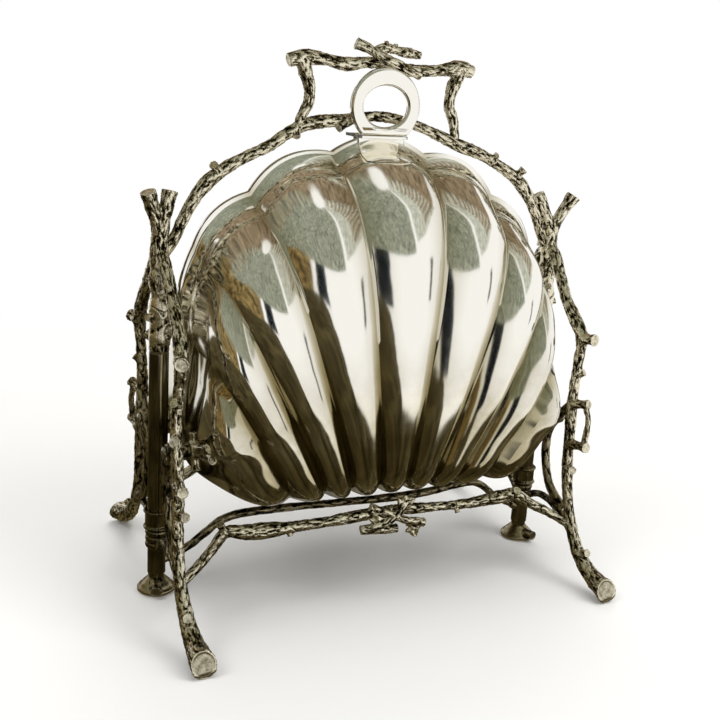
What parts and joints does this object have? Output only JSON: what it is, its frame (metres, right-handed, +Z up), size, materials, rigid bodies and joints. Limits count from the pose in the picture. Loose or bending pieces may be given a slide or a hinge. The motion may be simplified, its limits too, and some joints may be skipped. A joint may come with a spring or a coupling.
{
  "type": "folding biscuit box",
  "caption": "Folding biscuit box: fluted shell halves with pierced inner flaps swing open on a cast branch stand with arch, carrying grip and lifting ring.",
  "frame": {"origin": "on the table, midway between the two posts and under the parting plane of the two halves", "axes": "+X along the box to its right, -Y out of the front half with the ring, +Z up"},
  "size_m": [0.2517, 0.1806, 0.2868],
  "materials": {
    "polished_silver_plate": "mirror-polished silver plate, slightly warm with age",
    "cast_branch_silver": "cast bark, silver plated, bright ridges and oxidised hollows",
    "post_tube": "smooth tarnished silver plate",
    "gilt_flap": "gilt pierced sheet, satin",
    "pin_steel": "plain drawn pin"
  },
  "bodies": {
    "stand": {"left_post": "post_tube", "left_post_foot": "cast_branch_silver", "left_post_collar": "post_tube", "left_crown": "cast_branch_silver", "left_front_leg": "cast_branch_silver", "left_front_strut": "cast_branch_silver", "left_front_tie": "cast_branch_silver", "left_back_leg": "cast_branch_silver", "left_back_strut": "cast_branch_silver", "left_back_tie": "cast_branch_silver", "right_post": "post_tube", "right_post_foot": "cast_branch_silver", "right_post_collar": "post_tube", "right_crown": "cast_branch_silver", "right_front_leg": "cast_branch_silver", "right_front_strut": "cast_branch_silver", "right_front_tie": "cast_branch_silver", "right_back_leg": "cast_branch_silver", "right_back_strut": "cast_branch_silver", "right_back_tie": "cast_branch_silver", "arch_bow": "cast_branch_silver", "carrying_grip": "cast_branch_silver", "grip_twig": "cast_branch_silver", "front_rail": "cast_branch_silver", "front_rail_sprig": "cast_branch_silver", "back_rail": "cast_branch_silver", "back_rail_sprig": "cast_branch_silver", "spine_rail": "cast_branch_silver"},
    "front_shell_half": {"front_shell": "polished_silver_plate", "front_shell_left_lug": "polished_silver_plate", "front_shell_right_lug": "polished_silver_plate", "front_shell_left_pin": "pin_steel", "front_shell_right_pin": "pin_steel", "front_flap_hinge_leaf": "gilt_flap", "front_flap_hinge_pin": "pin_steel", "front_ring": "polished_silver_plate", "front_ring_strap": "polished_silver_plate"},
    "front_flap_grille": {"front_flap": "gilt_flap", "front_flap_knob": "gilt_flap"},
    "back_shell_half": {"back_shell": "polished_silver_plate", "back_shell_left_lug": "polished_silver_plate", "back_shell_right_lug": "polished_silver_plate", "back_shell_left_pin": "pin_steel", "back_shell_right_pin": "pin_steel", "back_flap_hinge_leaf": "gilt_flap", "back_flap_hinge_pin": "pin_steel", "back_thumb_strap": "polished_silver_plate"},
    "back_flap_grille": {"back_flap": "gilt_flap", "back_flap_knob": "gilt_flap"}
  },
  "joints": [
    {"name": "front_shell_swing", "type": "hinge", "parent": "stand", "child": "front_shell_half", "pos_m": [0, -0.026, 0.087], "axis": [1, 0, 0], "range_deg": [0, 85]},
    {"name": "back_shell_swing", "type": "hinge", "parent": "stand", "child": "back_shell_half", "pos_m": [0, 0.026, 0.087], "axis": [-1, 0, 0], "range_deg": [0, 85]},
    {"name": "front_flap_lift", "type": "hinge", "parent": "front_shell_half", "child": "front_flap_grille", "pos_m": [0, -0.0054, 0.092], "axis": [1, 0, 0], "range_deg": [-60, 0]},
    {"name": "back_flap_lift", "type": "hinge", "parent": "back_shell_half", "child": "back_flap_grille", "pos_m": [0, 0.0054, 0.092], "axis": [-1, 0, 0], "range_deg": [-60, 0]}
  ],
  "couplings": [
    {"joint": "front_flap_lift", "follows": "front_shell_swing", "ratio": -0.7},
    {"joint": "back_flap_lift", "follows": "back_shell_swing", "ratio": -0.7}
  ]
}
